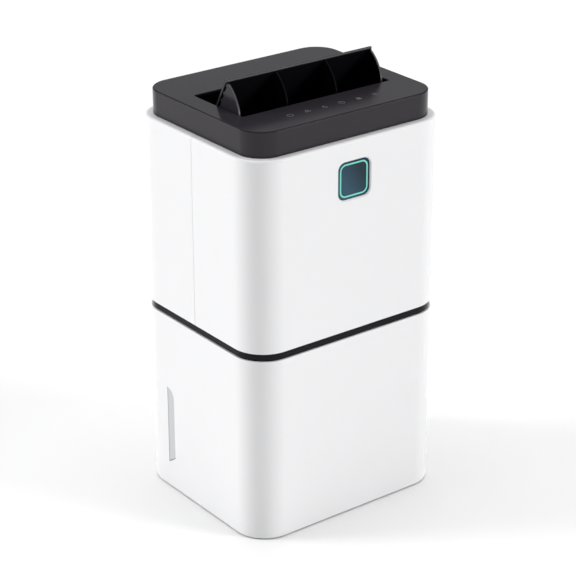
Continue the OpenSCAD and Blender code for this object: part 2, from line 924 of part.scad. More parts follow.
module filter_frame() {
    rim = 5;
    color("#3f6f9e") difference() {
        span_box([-grille_x + 2, filter_y0, grille_z0 + 2], [grille_x - 2, filter_y1, grille_z1 - 2]);
        for (i = [0 : 2], j = [0 : 2]) {
            cell_w = (2 * grille_x - 4 - 4 * rim) / 3;
            cell_h = (grille_z1 - grille_z0 - 4 - 4 * rim) / 3;
            x = -grille_x + 2 + rim + i * (cell_w + rim);
            z = grille_z0 + 2 + rim + j * (cell_h + rim);
            span_box([x, filter_y0 - 1, z], [x + cell_w, filter_y1 + 1, z + cell_h]);
        }
    }
}

module filter_mesh() {
    rim = 5;
    cell_w = (2 * grille_x - 4 - 4 * rim) / 3;
    cell_h = (grille_z1 - grille_z0 - 4 - 4 * rim) / 3;
    color("#8d949b") for (i = [0 : 2], j = [0 : 2]) {
        x = -grille_x + 2 + rim + i * (cell_w + rim);
        z = grille_z0 + 2 + rim + j * (cell_h + rim);
        span_box([x, 107, z], [x + cell_w, 108, z + cell_h]);
    }
}

// ---- Water tank ----

// Plan outline of the tank: small corners in front, large ones behind
module tank_plan(inset) {
    front_r = 12 - inset;
    rear_r = 34 - inset;
    x = tank_x - inset;
    y0 = tank_y0 + inset;
    y1 = tank_y1 - inset;
    translate([-x, y0 + front_r]) square([2 * x, y1 - y0 - front_r - rear_r]);
    translate([-x + front_r, y0]) square([2 * (x - front_r), y1 - y0 - rear_r]);
    translate([-x + rear_r, y0 + front_r]) square([2 * (x - rear_r), y1 - y0 - front_r]);
    for (s = [-1, 1]) {
        translate([s * (x - front_r), y0 + front_r]) circle(r = front_r);
        translate([s * (x - rear_r), y1 - rear_r]) circle(r = rear_r);
    }
}

module tank_bucket() {
    color("#dfe6ea") {
        difference() {
            translate([0, 0, tank_z0]) linear_extrude(tank_top - tank_z0) tank_plan(0);
            translate([0, 0, tank_z0 + tank_wall]) linear_extrude(tank_top) tank_plan(tank_wall);
        }
        // ears and pins of the carrying handle
        for (s = [-1, 1]) {
            ear_x = (handle_x + 3 + tank_x) / 2;
            ear_half = tank_x - ear_x;
            span_box([s * ear_x - ear_half, handle_y - 6, tank_top - 8],
                [s * ear_x + ear_half, handle_y + 6, handle_z]);
            rod_x(handle_y, handle_z, 6, s * ear_x - ear_half, s * ear_x + ear_half);
            rod_x(handle_y, handle_z, 2.5, s * handle_x - 3.5, s * handle_x + 3.5);
        }
    }
}

module tank_panel() {
    slot_w = 100;
    slot_z0 = tank_top + 7;
    slot_z1 = bay_top - 9;
    grip_y = 98;
    color(shell_white) difference() {
        union() {
            intersection() {
                body_ring(0, wall, 8 + fit_gap, bay_top - fit_gap);
                span_box([-bay_w / 2 + fit_gap, 60, 0], [bay_w / 2 - fit_gap, body_d, body_h]);
            }
            // hollow grip behind the finger slot
            span_box([-slot_w / 2 - 2, grip_y, slot_z0 - 2], [slot_w / 2 + 2, body_d / 2 - wall + 0.5, bay_top - 1]);
        }
        span_box([-slot_w / 2, grip_y + 2, slot_z0], [slot_w / 2, body_d / 2 - wall, bay_top - 3]);
        plate_y(body_d / 2 - wall - 1, body_d / 2 + 1)
            translate([0, (slot_z0 + slot_z1) / 2]) round_rect(slot_w, slot_z1 - slot_z0, 4);
    }
}

module tank_lid() {
    lid_t = 3;
    color("#e9ecee") {
        difference() {
            union() {
                translate([0, 0, tank_top]) linear_extrude(lid_t) tank_plan(4);
                translate([0, 0, tank_top - 4]) linear_extrude(4) difference() {
                    tank_plan(tank_wall + 0.2);
                    tank_plan(tank_wall + 2.2);
                }
            }
            translate([0, spout_y, tank_top - 1]) cylinder(r = 13, h = 8);
            for (s = [-1, 1]) span_box([s * (handle_x + 9) - 7, handle_y - 6.5, tank_top - 9],
                [s * (handle_x + 9) + 7, handle_y + 6.5, tank_top + 5]);
            span_box([76, 20, tank_top - 8], [104, 40, tank_top + 5]);
        }
        // ears that carry the float
        for (s = [-1, 1]) difference() {
            span_box([float_x + s * 14 - 1, float_y - 3, float_z - 4], [float_x + s * 14 + 1, float_y + 5, tank_top]);
            rod_x(float_y + 1, float_z, 1.5 + run_gap, float_x + s * 14 - 2, float_x + s * 14 + 2);
        }
    }
}

module tank_handle() {
    grip_r = 3.5;
    color("#c9ced3") {
        for (s = [-1, 1]) difference() {
            union() {
                rod_x(handle_y, handle_z, 4.6, s * handle_x - 2, s * handle_x + 2);
                span_box([s * handle_x - 2, handle_y - handle_arm, handle_z - 3],
                    [s * handle_x + 2, handle_y, handle_z + 3]);
            }
            rod_x(handle_y, handle_z, 2.5 + run_gap, s * handle_x - 3, s * handle_x + 3);
        }
        rod_x(handle_y - handle_arm, handle_z, grip_r, -handle_x - 2, handle_x + 2);
    }
}

module tank_float() {
    color("#e8772e") {
        rod_x(float_y + 1, float_z, 1.5, float_x - 15.5, float_x + 15.5);
        span_box([float_x - 12, float_y - 1, float_z - 3], [float_x + 12, float_y + 12, float_z + 1]);
        span_box([float_x - 12, float_y + 10, float_z - 20], [float_x + 12, float_y + 40, float_z - 3]);
    }
}

base_pan();
rubber_feet();
lower_casing();
rear_frame();
level_window();
bay_bulkhead();
belt_ring();
mid_deck();
front_housing();
rear_housing();
top_cap();
touch_marks();
touch_board();
display_bezel();
display_lens();
display_light_ring();
display_board();
control_board();
outlet_duct();
outlet_guard();
flap_bushes();
flap_motor();
scroll_front();
scroll_rear();
fan_motor();
evaporator_fins();
evaporator_tubes();
condenser_fins();
condenser_tubes();
compressor_shell();
compressor_grommets();
terminal_cover();
accumulator();
suction_pipe();
discharge_pipe();
filter_drier();
capillary_tube();
drip_tray();
drain_spigot();
cord_gland();
run_capacitor();
reed_switch();
humidity_sensor();
casing_screws();
flap_lid();
flap_vanes();
flap_shaft();
fan_impeller();
fan_shaft();
tank_bucket();
tank_panel();
tank_lid();
tank_handle();
tank_float();
intake_grille();
filter_frame();
filter_mesh();
drain_plug();
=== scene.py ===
import math

import bmesh
import bpy
from mathutils import Matrix, Vector


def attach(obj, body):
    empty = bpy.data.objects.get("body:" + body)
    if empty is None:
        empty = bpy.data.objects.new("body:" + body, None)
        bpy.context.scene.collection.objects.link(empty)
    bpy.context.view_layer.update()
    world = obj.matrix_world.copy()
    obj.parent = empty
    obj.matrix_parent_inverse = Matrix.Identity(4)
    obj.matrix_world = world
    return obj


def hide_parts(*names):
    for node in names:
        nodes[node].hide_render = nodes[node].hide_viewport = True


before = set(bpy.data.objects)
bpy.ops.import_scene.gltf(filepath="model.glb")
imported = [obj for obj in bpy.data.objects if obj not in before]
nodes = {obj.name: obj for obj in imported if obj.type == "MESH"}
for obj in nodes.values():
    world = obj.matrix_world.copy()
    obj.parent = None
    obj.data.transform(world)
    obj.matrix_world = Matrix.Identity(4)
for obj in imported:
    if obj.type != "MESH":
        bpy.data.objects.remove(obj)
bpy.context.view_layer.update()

MM = 0.001
# Points closer than this many metres are one point
MERGE = 2e-6

# ---- Sizes, in millimetres ----

# Body: half width, half depth, corner radius and wall
HALF_W, HALF_D, CORNER_R, WALL = 139.0, 119.0, 40.0, 2.5
# Heights: belt, rim of the upper housings, cap top, and the lower shell's bottom edge
BELT_Z, BELT_TOP, RIM_Z, TOP_Z = 231.0, 240.5, 471.5, 502.0
SKIRT_Z, SKIRT_R = 1.2, 2.0
# Half the gap at the upright seam of the upper housings
SEAM = 0.15
# Rounded rim of the upper housings, and the flanges inside the shells
RIM_R, LEDGE_W, LEDGE_T = 2.8, 5.0, 3.0
BELT_IN = WALL + 6
# Where the lower casing ends and the rear surround begins
FRAME_Y = 103.0
FRAME_ANGLE = math.degrees(math.asin((FRAME_Y - (HALF_D - CORNER_R)) / CORNER_R))
# How far cutting tools reach past a wall, and two planes in front of and behind the rear wall
PAST, INSIDE_Y, BEHIND_Y = 2.0, 60.0, 130.0
THROUGH_REAR = (HALF_D - WALL - PAST, HALF_D + PAST)

# Level strip in the left wall: edges, foot that rises to the front, top, recess and gap at its foot
STRIP_Y0, STRIP_Y1, STRIP_Z0, STRIP_RISE, STRIP_TOP = 49.0, 62.0, 34.5, 9.0, 136.0
STRIP_SUNK, STRIP_GAP = 0.5, 1.0

# Intake opening and the screws of the rear housing
INTAKE_X, INTAKE_Z0, INTAKE_Z1 = 86.0, 262.0, 452.0
SCREW_X, SCREW_LEVELS, SCREW_R = 94.0, (250.0, 460.0), 3.8

# Tank bay, drain pocket and lead gland in the rear surround
BAY_X, BAY_Z0, BAY_Z1 = 123.0, 8.0, 200.0
PORT_X, PORT_Z, SPIGOT_R = -60.0, 215.5, 5.6
POCKET_X, POCKET_Y, POCKET_Z, POCKET_WALL = 14.0, 92.0, 11.5, 1.5
GLAND_X, GLAND_R = 85.0, 9.0

# Tank front: gap in the bay, and the finger grip's pocket and slot
PANEL_GAP = 0.4
GRIP_X, GRIP_Y, GRIP_Z0, GRIP_Z1, GRIP_WALL = 50.0, 100.0, 177.0, 197.0, 2.0
GRIP_SLOT_H, GRIP_SLOT_R = 14.0, 4.0

# Cap and its outlet opening; its top stays a hair below the touch marks
CAP_INSET, CAP_WALL, CAP_EDGE, CAP_TOP = 9.0, 3.0, 1.6, TOP_Z - 0.02
OUTLET_X, OUTLET_Y0, OUTLET_Y1, OUTLET_R = 105.0, -51.0, 42.0, 3.0

# Display: opening that flares to the front, rim behind it, lens, and light ring let into the lens
DISPLAY_Z, DISPLAY_W, DISPLAY_R, FLARE = 425.0, 45.0, 9.0, 1.5
BEZEL_W, BEZEL_R, BEZEL_T = DISPLAY_W + 8, 12.0, 3.5
LENS_Y, LENS_T, LENS_GAP = -117.4, 2.4, 0.05
RING_W, RING_LINE, RING_R, RING_T, RING_SUNK = 39.6, 1.8, 8.0, 1.0, 0.1

# Flap: hinge axis and rest angle; then, with the flap closed, lid, the bead on the lid's front edge with
# the stretch of it in degrees that carries a painted highlight, vanes, and the slots in the left vane
PIVOT_Y, PIVOT_Z, FLAP_OPEN = -5.6, 492.0, 62.0
LID_X, LID_FRONT, LID_REAR, LID_TOP, LID_T = 103.5, -44.4, 45.6, 10.0, 3.0
LID_BEAD, BEAD_END, HIGHLIGHT_FROM, HIGHLIGHT_TO = 1.8, -39.0, 188, 228
VANE_Y, VANE_Z, VANE_R, VANE_FRONT, VANE_REAR = 3.6, 9.0, 46.0, -42.4, 45.1
END_VANE, RIB = (100.0, 102.5), (34.0, 36.0)
SLOT_STARTS, SLOT_LONG, SLOT_Z0, SLOT_Z1, SLOT_DEEP = (-37.2, -26.0, -14.8), 7.2, 4.6, 6.6, 1.3

# Half the floor's length
REACH = 40000


# ---- Meshes ----

def mesh_piece(name, points, faces):
    """A new object from points in millimetres, with its faces turned outwards."""
    mesh = bpy.data.meshes.new(name)
    mesh.from_pydata([(x * MM, y * MM, z * MM) for x, y, z in points], [], faces)
    piece = bpy.data.objects.new(name, mesh)
    bpy.context.scene.collection.objects.link(piece)
    clean(piece)
    return piece


def clean(piece):
    bm = bmesh.new()
    bm.from_mesh(piece.data)
    bmesh.ops.remove_doubles(bm, verts=bm.verts, dist=MERGE)
    bmesh.ops.dissolve_degenerate(bm, edges=bm.edges, dist=MERGE)
    bmesh.ops.recalc_face_normals(bm, faces=bm.faces)
    bm.to_mesh(piece.data)
    bm.free()


def settle(piece):
    """Turns what the modifiers make into the piece's own mesh."""
    graph = bpy.context.evaluated_depsgraph_get()
    made = bpy.data.meshes.new_from_object(piece.evaluated_get(graph), depsgraph=graph)
    piece.modifiers.clear()
    old = piece.data
    piece.data = made
    bpy.data.meshes.remove(old)
    clean(piece)


def combine(piece, tool, operation="DIFFERENCE"):
    change = piece.modifiers.new("combine", "BOOLEAN")
    change.operation = operation
    change.solver = "EXACT"
    change.object = tool
    settle(piece)
    bpy.data.objects.remove(tool)


def add(piece, other):
    """Joins another closed mesh into the piece without cutting either."""
    bm = bmesh.new()
    bm.from_mesh(piece.data)
    bm.from_mesh(other.data)
    bm.to_mesh(piece.data)
    bm.free()
    bpy.data.objects.remove(other)


def soften(piece, width, angle=50, segments=3):
    """Rounds the sharp edges by a width in millimetres."""
    change = piece.modifiers.new("soften", "BEVEL")
    change.limit_method = "ANGLE"
    change.angle_limit = math.radians(angle)
    change.width = width * MM
    change.segments = segments
    settle(piece)


def smooth(piece, angle=32):
    """Smooth shading with sharp edges above an angle, weighted to the large faces."""
    bm = bmesh.new()
    bm.from_mesh(piece.data)
    limit = math.radians(angle)
    for face in bm.faces:
        face.smooth = True
    for edge in bm.edges:
        edge.smooth = len(edge.link_faces) == 2 and edge.calc_face_angle(0) < limit
    bm.to_mesh(piece.data)
    bm.free()
    weighted = piece.modifiers.new("weighted", "WEIGHTED_NORMAL")
    weighted.keep_sharp = True


def arc(cx, cy, r, start, stop, count):
    steps = [math.radians(start + (stop - start) * i / count) for i in range(count + 1)]
    return [(cx + r * math.cos(a), cy + r * math.sin(a)) for a in steps]


def rounded(width, height, r, cx=0.0, cy=0.0, count=10):
    x, y = width / 2 - r, height / 2 - r
    turns = ((x, -y, -90), (x, y, 0), (-x, y, 90), (-x, -y, 180))
    return [p for px, py, a in turns for p in arc(cx + px, cy + py, r, a, a + 90, count)]


def circle(cx, cy, r, count):
    return arc(cx, cy, r, 0, 360 - 360 / count, count - 1)


def loft(name, rings):
    """A closed solid through rings of points, one behind the other."""
    n, levels = len(rings[0]), len(rings)
    faces = [list(range(n)), list(range((levels - 1) * n, levels * n))]
    for s in range(0, (levels - 1) * n, n):
        faces += [[s + i, s + (i + 1) % n, s + n + (i + 1) % n, s + n + i] for i in range(n)]
    return mesh_piece(name, [point for ring in rings for point in ring], faces)


def prism(name, outline, axis, low, high):
    """A flat outline made solid along x, y or z."""
    place = {
        "x": lambda u, v, w: (w, u, v),
        "y": lambda u, v, w: (u, w, v),
        "z": lambda u, v, w: (u, v, w),
    }[axis]
    n = len(outline)
    points = [place(u, v, w) for w in (low, high) for u, v in outline]
    faces = [list(range(n)), list(range(2 * n - 1, n - 1, -1))]
    faces += [[i, (i + 1) % n, n + (i + 1) % n, n + i] for i in range(n)]
    return mesh_piece(name, points, faces)


def block(name, low, high):
    outline = [(low[0], low[1]), (high[0], low[1]), (high[0], high[1]), (low[0], high[1])]
    return prism(name, outline, "z", low[2], high[2])


def stations(spans, count=24):
    """Places on the body outline as (corner x, corner y, normal x, normal y)."""
    made = []
    for sx, sy, start, stop in spans:
        if start == stop:
            made.append((sx * (HALF_W - CORNER_R), sy, math.cos(math.radians(start)), 0.0))
            continue
        steps = max(2, round(count * abs(stop - start) / 90))
        for i in range(steps + 1):
            a = math.radians(start + (stop - start) * i / steps)
            made.append((sx * (HALF_W - CORNER_R), sy * (HALF_D - CORNER_R), math.cos(a), math.sin(a)))
    return made


def sweep(name, profile, path, closed):
    """Carries a profile of (inset, height) along the body outline."""
    points = [(cx + (CORNER_R - inset) * nx, cy + (CORNER_R - inset) * ny, z)
              for cx, cy, nx, ny in path for inset, z in profile]
    n, count = len(profile), len(path)
    faces = []
    for s in range(count if closed else count - 1):
        t = (s + 1) % count
        faces += [[s * n + i, s * n + (i + 1) % n, t * n + (i + 1) % n, t * n + i] for i in range(n)]
    if not closed:
        faces += [list(range(n)), list(range(count * n - 1, (count - 1) * n - 1, -1))]
    return mesh_piece(name, points, faces)


ALL_ROUND = stations([(1, -1, -90, 0), (1, 1, 0, 90), (-1, 1, 90, 180), (-1, -1, 180, 270)])
FRONT_HALF = stations([(-1, -SEAM, 180, 180), (-1, -1, 180, 270), (1, -1, 270, 360), (1, -SEAM, 0, 0)])
REAR_HALF = stations([(1, SEAM, 0, 0), (1, 1, 0, 90), (-1, 1, 90, 180), (-1, SEAM, 180, 180)])
FRONT_THREE = stations([(-1, 1, 180 - FRAME_ANGLE, 180), (-1, -1, 180, 270), (1, -1, 270, 360),
                        (1, 1, 0, FRAME_ANGLE)])
REAR_END = stations([(1, 1, FRAME_ANGLE, 90), (-1, 1, 90, 180 - FRAME_ANGLE)])
PANEL_SPAN = stations([(1, 1, 50, 90), (-1, 1, 90, 130)])


# ---- Materials ----

# Scale of the noise that makes the gloss uneven
GLOSS_SCALE = 45.0


def material(name, colour, rough, tint=0.02, tint_scale=7.0, rough_spread=0.03, grain=0.1,
             grain_scale=1400.0, grain_deep=0.06, metal=0.0, coat=0.0, coat_rough=0.1, ior=1.5,
             clear=0.0, glow=None, stretch=(1.0, 1.0, 1.0)):
    """Moulded or drawn stock: colour drift, uneven gloss and a fine surface grain, all procedural."""
    made = bpy.data.materials.new(name)
    made.use_nodes = True
    tree = made.node_tree
    shader = tree.nodes["Principled BSDF"]
    where = tree.nodes.new("ShaderNodeTexCoord")
    scaled = tree.nodes.new("ShaderNodeMapping")
    scaled.inputs["Scale"].default_value = stretch
    tree.links.new(where.outputs["Object"], scaled.inputs["Vector"])

    def noise(scale, detail):
        node = tree.nodes.new("ShaderNodeTexNoise")
        node.inputs["Scale"].default_value = scale
        node.inputs["Detail"].default_value = detail
        tree.links.new(scaled.outputs["Vector"], node.inputs["Vector"])
        return node.outputs["Fac"]

    mixed = tree.nodes.new("ShaderNodeMix")
    mixed.name = "drift"
    mixed.data_type = "RGBA"
    mixed.inputs["A"].default_value = [c * (1 - tint) for c in colour] + [1]
    mixed.inputs["B"].default_value = [min(1, c * (1 + tint)) for c in colour] + [1]
    tree.links.new(noise(tint_scale, 3), mixed.inputs["Factor"])
    tree.links.new(mixed.outputs["Result"], shader.inputs["Base Color"])

    shader.inputs["Roughness"].default_value = rough
    if rough_spread:
        gloss = tree.nodes.new("ShaderNodeMapRange")
        gloss.inputs["From Min"].default_value = 0.3
        gloss.inputs["From Max"].default_value = 0.7
        gloss.inputs["To Min"].default_value = max(0.02, rough - rough_spread)
        gloss.inputs["To Max"].default_value = rough + rough_spread
        tree.links.new(noise(GLOSS_SCALE, 2), gloss.inputs["Value"])
        tree.links.new(gloss.outputs["Result"], shader.inputs["Roughness"])

    bump = tree.nodes.new("ShaderNodeBump")
    bump.inputs["Strength"].default_value = grain
    bump.inputs["Distance"].default_value = grain_deep * MM
    tree.links.new(noise(grain_scale, 5), bump.inputs["Height"])
    tree.links.new(bump.outputs["Normal"], shader.inputs["Normal"])

    shader.inputs["Metallic"].default_value = metal
    shader.inputs["IOR"].default_value = ior
    shader.inputs["Coat Weight"].default_value = coat
    shader.inputs["Coat Roughness"].default_value = coat_rough
    shader.inputs["Transmission Weight"].default_value = clear
    if glow:
        shader.inputs["Emission Color"].default_value = (*colour, 1)
        shader.inputs["Emission Strength"].default_value = glow
    return made


def paint_lens_sheen(made):
    """Paints a sheen on the tinted lens, pale towards its lower left corner."""
    tree = made.node_tree
    where = tree.nodes.new("ShaderNodeTexCoord")
    across = tree.nodes.new("ShaderNodeMapping")
    across.vector_type = "TEXTURE"
    across.inputs["Location"].default_value = (-0.5 * DISPLAY_W * MM, 0, (DISPLAY_Z - 0.5 * DISPLAY_W) * MM)
    across.inputs["Rotation"].default_value = (0, math.radians(-30), 0)
    across.inputs["Scale"].default_value = (1.3 * DISPLAY_W * MM, 1, 1)
    slope = tree.nodes.new("ShaderNodeSeparateXYZ")
    ramp = tree.nodes.new("ShaderNodeValToRGB")
    pale, deep = ramp.color_ramp.elements
    pale.position, pale.color = 0.3, (0.045, 0.115, 0.170, 1)
    deep.position, deep.color = 0.75, (0.010, 0.026, 0.038, 1)
    tree.links.new(where.outputs["Object"], across.inputs["Vector"])
    tree.links.new(across.outputs["Vector"], slope.inputs["Vector"])
    tree.links.new(slope.outputs["X"], ramp.inputs["Fac"])
    tree.links.new(ramp.outputs["Color"], tree.nodes["drift"].inputs["A"])


MATERIALS = {
    "shell_white": material("shell_white", (0.81, 0.81, 0.82), 0.27, tint=0.004, rough_spread=0.0,
                            grain=0.03, coat=0.25, coat_rough=0.14),
    "liner_white": material("liner_white", (0.74, 0.74, 0.73), 0.42, grain=0.12),
    "cap_grey": material("cap_grey", (0.023, 0.0205, 0.0255), 0.2, tint=0.08, grain=0.08,
                         grain_scale=1900.0, ior=1.33),
    # painted highlight: a lighter grey laid on the lid's bead and the end vanes' curved edges
    "painted_highlight_edge": material("painted_highlight_edge", (0.085, 0.082, 0.09), 0.3, tint=0.15, tint_scale=30.0, ior=1.4),
    "belt_black": material("belt_black", (0.006, 0.0055, 0.0068), 0.2, tint=0.1, grain=0.05, ior=1.22),
    # black plastic of the ducts and fan; on the lid's underside and the vanes it is also painted shade, so
    # the mouth under the flap shows black
    "duct_black": material("duct_black", (0.005, 0.005, 0.0068), 0.5, tint=0.1, grain=0.12,
                           grain_scale=1600.0, ior=1.18),
    "pan_grey": material("pan_grey", (0.045, 0.045, 0.05), 0.5, tint=0.08, grain=0.2),
    "rubber": material("rubber", (0.02, 0.02, 0.021), 0.75, tint=0.12, grain=0.35, grain_scale=1100.0),
    "mark_grey": material("mark_grey", (0.12, 0.12, 0.13), 0.3, grain=0.05),
    "lens_blue": material("lens_blue", (0.010, 0.028, 0.045), 0.05, tint=0.06, grain=0.01, ior=1.3),
    "light_ring": material("light_ring", (0.13, 0.50, 0.41), 0.3, grain=0.02, glow=0.4),
    "window_clear": material("window_clear", (0.53, 0.54, 0.55), 0.2, grain=0.04, coat=0.3),
    "tank_clear": material("tank_clear", (0.82, 0.88, 0.92), 0.22, grain=0.08, clear=0.7, ior=1.45),
    "steel": material("steel", (0.62, 0.63, 0.65), 0.3, metal=1.0, grain=0.15, stretch=(1.0, 1.0, 6.0)),
    "fin_aluminium": material("fin_aluminium", (0.78, 0.79, 0.8), 0.35, metal=1.0, grain=0.2,
                              stretch=(6.0, 1.0, 1.0)),
    "copper": material("copper", (0.72, 0.33, 0.18), 0.28, metal=1.0, tint=0.1, grain=0.12),
    "compressor_black": material("compressor_black", (0.015, 0.015, 0.016), 0.35, tint=0.1, grain=0.3,
                                 grain_scale=700.0),
    "motor_grey": material("motor_grey", (0.30, 0.31, 0.33), 0.4, metal=0.6, grain=0.2),
    "board_green": material("board_green", (0.015, 0.09, 0.04), 0.35, tint=0.15, grain=0.3,
                            grain_scale=500.0),
    "handle_grey": material("handle_grey", (0.55, 0.57, 0.6), 0.35, grain=0.12),
    "float_orange": material("float_orange", (0.85, 0.22, 0.03), 0.4, grain=0.15),
    "filter_blue": material("filter_blue", (0.06, 0.16, 0.36), 0.45, grain=0.15),
    "filter_mesh": material("filter_mesh", (0.25, 0.27, 0.30), 0.7, tint=0.2, grain=0.8,
                            grain_scale=900.0, grain_deep=0.3),
}
# painted sheen on the lens
paint_lens_sheen(MATERIALS["lens_blue"])


def mount(piece, body, slot, stood_for):
    """Hands a finished piece to its body, in the place of a CAD node."""
    if not piece.data.materials or piece.data.materials[0] is None:
        piece.data.materials.clear()
        piece.data.materials.append(MATERIALS[slot])
    smooth(piece)
    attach(piece, body)
    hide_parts(stood_for)


def dress(node, slot, width, angle=40):
    """Keeps a CAD node and gives it its finish, with edges softened by a width in millimetres or by 0."""
    piece = nodes[node]
    for material_slot in piece.material_slots:
        material_slot.material = MATERIALS[slot]
    if width:
        weld = piece.modifiers.new("weld", "WELD")
        weld.merge_threshold = 1e-5
        change = piece.modifiers.new("soften", "BEVEL")
        change.limit_method = "ANGLE"
        change.angle_limit = math.radians(angle)
        change.width = width * MM
        change.segments = 2
        weighted = piece.modifiers.new("weighted", "WEIGHTED_NORMAL")
        weighted.keep_sharp = True


# ---- White shells ----

def upper_profile():
    """Section of the upper housings: wall, rounded rim, and the flanges under the cap and on the belt."""
    rim = [(RIM_R + x, RIM_Z - RIM_R + z) for x, z in arc(0, 0, RIM_R, 180, 90, 8)]
    under_cap, on_belt = CAP_INSET + LEDGE_W, WALL + LEDGE_W
    return [(0.0, BELT_TOP)] + rim + [
        (under_cap, RIM_Z), (under_cap, RIM_Z - LEDGE_T), (WALL, RIM_Z - LEDGE_T),
        (WALL, BELT_TOP + LEDGE_T), (on_belt, BELT_TOP + LEDGE_T), (on_belt, BELT_TOP)]


def lower_profile():
    """Section of the lower shells: rounded skirt, wall, and the flange under the belt."""
    skirt = [(SKIRT_R + x, SKIRT_Z + SKIRT_R + z) for x, z in arc(0, 0, SKIRT_R, 270, 180, 6)]
    return skirt + [(0.0, BELT_Z), (BELT_IN, BELT_Z), (BELT_IN, BELT_Z - LEDGE_T),
                    (WALL, BELT_Z - LEDGE_T), (WALL, SKIRT_Z)]


def display_square(width, r):
    return rounded(width, width, r, 0, DISPLAY_Z)


def flared_hole():
    """The tool that cuts the display's opening."""
    over = 0.2
    wide = DISPLAY_W + 2 * FLARE + 2 * over
    rings = ((-HALF_D - over, wide, DISPLAY_R + FLARE + over),
             (-HALF_D + FLARE, DISPLAY_W, DISPLAY_R),
             (-HALF_D + WALL + PAST, DISPLAY_W, DISPLAY_R))
    return loft("flared_hole", [[(x, y, z) for x, z in display_square(w, r)] for y, w, r in rings])


def front_shell():
    piece = sweep("front_shell", upper_profile(), FRONT_HALF, False)
    combine(piece, flared_hole())
    soften(piece, 0.45)
    mount(piece, "root", "shell_white", "front_housing")


def rear_shell():
    piece = sweep("rear_shell", upper_profile(), REAR_HALF, False)
    combine(piece, block("opening", (-INTAKE_X, INSIDE_Y, INTAKE_Z0), (INTAKE_X, BEHIND_Y, INTAKE_Z1)))
    for side in (-SCREW_X, SCREW_X):
        for level in SCREW_LEVELS:
            combine(piece, prism("screw_hole", circle(side, level, SCREW_R, 24), "y", *THROUGH_REAR))
    soften(piece, 0.45)
    mount(piece, "root", "shell_white", "rear_housing")


def strip_outline(lift):
    """The level strip's outline, with its foot raised by a lift."""
    wide = STRIP_Y1 - STRIP_Y0
    top = arc(STRIP_Y1, STRIP_TOP - wide, wide, 90, 180, 12)
    return [(STRIP_Y1, STRIP_Z0 + lift)] + top + [(STRIP_Y0, STRIP_Z0 + STRIP_RISE + lift)]


def lower_shell():
    piece = sweep("lower_shell", lower_profile(), FRONT_THREE, False)
    combine(piece, prism("window_hole", strip_outline(0.0), "x", -HALF_W - PAST, -HALF_W + WALL + PAST))
    soften(piece, 0.45)
    mount(piece, "root", "shell_white", "lower_casing")


def rear_surround():
    piece = sweep("rear_surround", lower_profile(), REAR_END, False)
    combine(piece, block("bay", (-BAY_X, INSIDE_Y, BAY_Z0), (BAY_X, BEHIND_Y, BAY_Z1)))
    wide, high = POCKET_X + POCKET_WALL, POCKET_Z + POCKET_WALL
    combine(piece, block("pocket", (PORT_X - wide, POCKET_Y - POCKET_WALL, PORT_Z - high),
                         (PORT_X + wide, HALF_D - WALL / 2, PORT_Z + high)), "UNION")
    combine(piece, block("hollow", (PORT_X - POCKET_X, POCKET_Y, PORT_Z - POCKET_Z),
                         (PORT_X + POCKET_X, HALF_D + PAST, PORT_Z + POCKET_Z)))
    combine(piece, prism("seat", circle(GLAND_X, PORT_Z, GLAND_R, 36), "y", *THROUGH_REAR))
    combine(piece, prism("spigot_hole", circle(PORT_X, PORT_Z, SPIGOT_R, 36), "y",
                         POCKET_Y - POCKET_WALL - PAST, POCKET_Y + PAST))
    soften(piece, 0.4)
    mount(piece, "root", "shell_white", "rear_frame")


def level_strip():
    piece = prism("level_strip", strip_outline(STRIP_GAP), "x", -HALF_W + STRIP_SUNK, -HALF_W + WALL)
    soften(piece, 0.25)
    mount(piece, "root", "window_clear", "level_window")


def belt():
    face, edge, slant = 2.0, 2.6, 1.4
    profile = [(edge, BELT_Z), (face, BELT_Z + slant), (face, BELT_TOP - slant), (edge, BELT_TOP),
               (BELT_IN, BELT_TOP), (BELT_IN, BELT_Z)]
    mount(sweep("belt", profile, ALL_ROUND, True), "root", "belt_black", "belt_ring")


# ---- Cap ----

def cap_block(name, profile):
    """A closed block on the body outline, through a profile of (inset, height)."""
    return loft(name, [[(cx + (CORNER_R - inset) * nx, cy + (CORNER_R - inset) * ny, z)
                        for cx, cy, nx, ny in ALL_ROUND] for inset, z in profile])


def cap():
    rim = [(CAP_INSET + CAP_EDGE + x, CAP_TOP - CAP_EDGE + z) for x, z in arc(0, 0, CAP_EDGE, 180, 90, 8)]
    piece = cap_block("cap", [(CAP_INSET, RIM_Z)] + rim)
    inner = CAP_INSET + CAP_WALL
    combine(piece, cap_block("hollow", [(inner, RIM_Z - PAST), (inner, TOP_Z - CAP_WALL)]))
    outlet = rounded(2 * OUTLET_X, OUTLET_Y1 - OUTLET_Y0, OUTLET_R, 0, (OUTLET_Y0 + OUTLET_Y1) / 2)
    combine(piece, prism("outlet", outlet, "z", TOP_Z - CAP_WALL - PAST, TOP_Z + PAST))
    soften(piece, 0.6)
    mount(piece, "root", "cap_grey", "top_cap")


# ---- Display ----

RING_OUTER = display_square(RING_W, RING_R)
RING_INNER = display_square(RING_W - 2 * RING_LINE, RING_R - RING_LINE)


def display_rim():
    front = -HALF_D + WALL
    piece = prism("display_rim", display_square(BEZEL_W, BEZEL_R), "y", front, front + BEZEL_T)
    hole = prism("hole", display_square(DISPLAY_W, DISPLAY_R), "y", front - PAST, front + BEZEL_T + PAST)
    combine(piece, hole)
    mount(piece, "root", "shell_white", "display_bezel")


def display_lens():
    outline = display_square(DISPLAY_W - 2 * LENS_GAP, DISPLAY_R - LENS_GAP)
    piece = prism("lens", outline, "y", LENS_Y, LENS_Y + LENS_T)
    groove = prism("groove", RING_OUTER, "y", LENS_Y - RING_T, LENS_Y + RING_T)
    combine(groove, prism("island", RING_INNER, "y", LENS_Y - PAST, LENS_Y + PAST))
    combine(piece, groove)
    soften(piece, 0.25)
    mount(piece, "root", "lens_blue", "display_lens")


